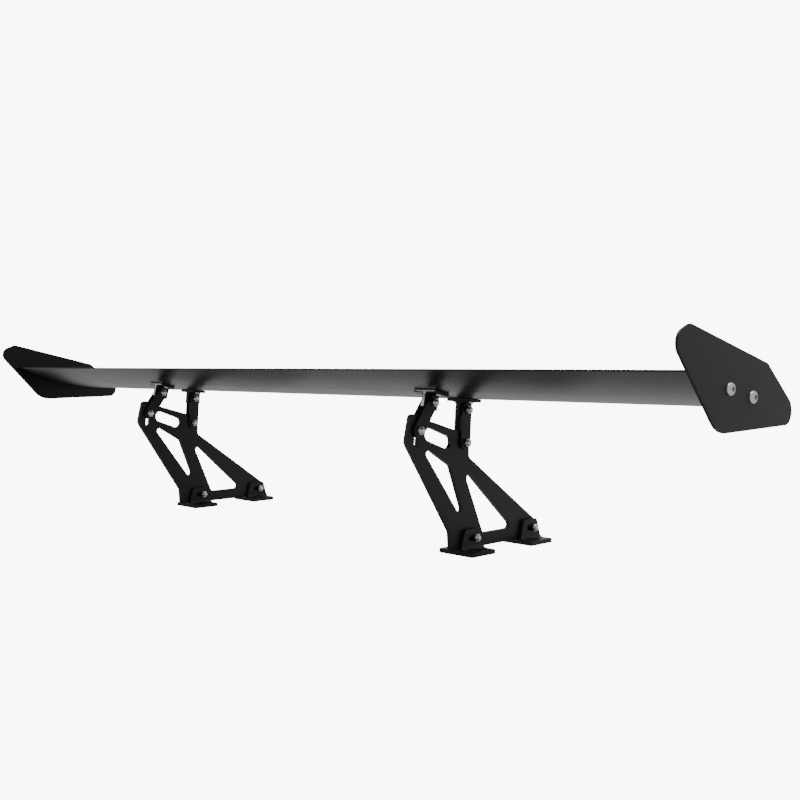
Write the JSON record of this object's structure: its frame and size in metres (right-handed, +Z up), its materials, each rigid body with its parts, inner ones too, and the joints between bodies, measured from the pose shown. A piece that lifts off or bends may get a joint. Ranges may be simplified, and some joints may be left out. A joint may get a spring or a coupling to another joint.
{
  "type": "adjustable rear wing",
  "caption": "Car rear wing: hollow extruded blade between end plates, on truss stanchions with pivoting links, an arc slot for the blade angle and sliding bolt-down feet.",
  "frame": {"origin": "on the ground under the middle of the wing's length and depth", "axes": "+X along the span to the right seen from behind, +Y to the front of the car, +Z up"},
  "size_m": [1.4568, 0.3172, 0.2869],
  "materials": {
    "blade_paint": "gloss black paint over extruded aluminium",
    "plate_paint": "satin black powder coat over aluminium",
    "bracket_paint": "satin black over aluminium, cut ends bare",
    "stand_paint": "satin black powder coat over aluminium",
    "bright_steel": "bright plated steel",
    "pad_rubber": "matt black rubber"
  },
  "bodies": {
    "wing": {"wing_blade": "blade_paint", "end_plate_left": "plate_paint", "end_plate_screws_left": "bright_steel", "end_plate_right": "plate_paint", "end_plate_screws_right": "bright_steel", "t_bracket_left_rear": "bracket_paint", "bracket_screws_left_rear": "bright_steel", "upper_pivot_bolt_left_rear": "bright_steel", "upper_pivot_nut_left_rear": "bright_steel", "t_bracket_left_front": "bracket_paint", "bracket_screws_left_front": "bright_steel", "upper_pivot_bolt_left_front": "bright_steel", "upper_pivot_nut_left_front": "bright_steel", "t_bracket_right_rear": "bracket_paint", "bracket_screws_right_rear": "bright_steel", "upper_pivot_bolt_right_rear": "bright_steel", "upper_pivot_nut_right_rear": "bright_steel", "t_bracket_right_front": "bracket_paint", "bracket_screws_right_front": "bright_steel", "upper_pivot_bolt_right_front": "bright_steel", "upper_pivot_nut_right_front": "bright_steel"},
    "front_link_left": {"link_left_front_nut_side": "stand_paint", "link_left_front_head_side": "stand_paint", "lower_pivot_bolt_left_front": "bright_steel", "lower_pivot_nut_left_front": "bright_steel"},
    "rear_link_left": {"link_left_rear_nut_side": "stand_paint", "link_left_rear_head_side": "stand_paint", "lower_pivot_bolt_left_rear": "bright_steel", "lower_pivot_nut_left_rear": "bright_steel"},
    "stand_left": {"stanchion_left": "stand_paint", "foot_bolt_left_rear": "bright_steel", "foot_nut_left_rear": "bright_steel", "foot_bolt_left_front": "bright_steel", "foot_nut_left_front": "bright_steel"},
    "foot_left_rear": {"foot_left_rear": "stand_paint", "foot_pad_left_rear": "pad_rubber"},
    "foot_left_front": {"foot_left_front": "stand_paint", "foot_pad_left_front": "pad_rubber"},
    "front_link_right": {"link_right_front_nut_side": "stand_paint", "link_right_front_head_side": "stand_paint", "lower_pivot_bolt_right_front": "bright_steel", "lower_pivot_nut_right_front": "bright_steel"},
    "rear_link_right": {"link_right_rear_nut_side": "stand_paint", "link_right_rear_head_side": "stand_paint", "lower_pivot_bolt_right_rear": "bright_steel", "lower_pivot_nut_right_rear": "bright_steel"},
    "stand_right": {"stanchion_right": "stand_paint", "foot_bolt_right_rear": "bright_steel", "foot_nut_right_rear": "bright_steel", "foot_bolt_right_front": "bright_steel", "foot_nut_right_front": "bright_steel"},
    "foot_right_rear": {"foot_right_rear": "stand_paint", "foot_pad_right_rear": "pad_rubber"},
    "foot_right_front": {"foot_right_front": "stand_paint", "foot_pad_right_front": "pad_rubber"}
  },
  "joints": [
    {"name": "front_link_left_pivot", "type": "hinge", "parent": "wing", "child": "front_link_left", "pos_m": [-0.318, 0.00471, 0.19021], "axis": [1, 0, 0], "range_deg": [-3, 4]},
    {"name": "stand_left_tilt", "type": "hinge", "parent": "front_link_left", "child": "stand_left", "pos_m": [-0.318, 0.00201, 0.1473], "axis": [1, 0, 0], "range_deg": [-4.5, 4.5]},
    {"name": "rear_link_left_pivot", "type": "hinge", "parent": "wing", "child": "rear_link_left", "pos_m": [-0.318, -0.05945, 0.20135], "axis": [1, 0, 0], "range_deg": [-3.5, 4.5]},
    {"name": "foot_left_rear_slide", "type": "slide", "parent": "stand_left", "child": "foot_left_rear", "axis": [0, 1, 0], "range_m": [0, 0.0095]},
    {"name": "foot_left_front_slide", "type": "slide", "parent": "stand_left", "child": "foot_left_front", "axis": [0, 1, 0], "range_m": [0, 0.0095]},
    {"name": "front_link_right_pivot", "type": "hinge", "parent": "wing", "child": "front_link_right", "pos_m": [0.318, 0.00471, 0.19021], "axis": [1, 0, 0], "range_deg": [-3, 4]},
    {"name": "stand_right_tilt", "type": "hinge", "parent": "front_link_right", "child": "stand_right", "pos_m": [0.318, 0.00201, 0.1473], "axis": [1, 0, 0], "range_deg": [-4.5, 4.5]},
    {"name": "rear_link_right_pivot", "type": "hinge", "parent": "wing", "child": "rear_link_right", "pos_m": [0.318, -0.05945, 0.20135], "axis": [1, 0, 0], "range_deg": [-3.5, 4.5]},
    {"name": "foot_right_rear_slide", "type": "slide", "parent": "stand_right", "child": "foot_right_rear", "axis": [0, 1, 0], "range_m": [0, 0.0095]},
    {"name": "foot_right_front_slide", "type": "slide", "parent": "stand_right", "child": "foot_right_front", "axis": [0, 1, 0], "range_m": [0, 0.0095]}
  ],
  "couplings": [
    {"joint": "rear_link_left_pivot", "follows": "front_link_left_pivot", "ratio": 1.0795},
    {"joint": "rear_link_right_pivot", "follows": "front_link_right_pivot", "ratio": 1.0795}
  ]
}
